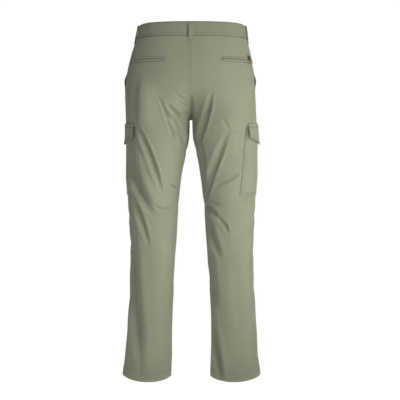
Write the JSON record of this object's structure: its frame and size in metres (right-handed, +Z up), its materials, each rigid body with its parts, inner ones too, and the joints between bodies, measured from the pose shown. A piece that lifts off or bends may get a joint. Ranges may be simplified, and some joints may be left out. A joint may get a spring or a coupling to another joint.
{
  "type": "cargo pants",
  "caption": "Straight-leg cotton twill cargo trousers with a belt-loop waistband, jetted back pockets and flapped patch pockets on the thighs, held out as if worn.",
  "frame": {"origin": "middle of the waist, 7 mm below the seam that joins the waistband to the panels", "axes": "+Z up the body, -Y is the front, +X is the wearer's left"},
  "size_m": [0.412, 0.238, 1.0592],
  "materials": {
    "twill": "matt cotton twill, sage green",
    "leather": "brown, plain",
    "zip_tape": "woven tape with a dull metal coil",
    "zip_metal": "dull, aged",
    "button": "dark olive, satin"
  },
  "bodies": {
    "root": {"front_left": "twill", "front_right": "twill", "back_left": "twill", "back_right": "twill", "waistband_left": "twill", "waistband_right": "twill", "belt_loop_back": "twill", "belt_loop_side_left": "twill", "belt_loop_side_right": "twill", "belt_loop_front_left": "twill", "belt_loop_front_right": "twill", "pocket_facing_left": "twill", "pocket_facing_right": "twill", "back_jet_upper_left": "twill", "back_jet_lower_left": "twill", "back_jet_upper_right": "twill", "back_jet_lower_right": "twill", "back_pocket_tab": "leather", "cargo_pocket_left": "twill", "cargo_pocket_right": "twill", "cargo_flap_left": "twill", "cargo_flap_right": "twill", "fly": "twill", "zip_tape": "zip_tape", "zip_slider": "zip_metal", "waist_button": "button"}
  },
  "joints": []
}
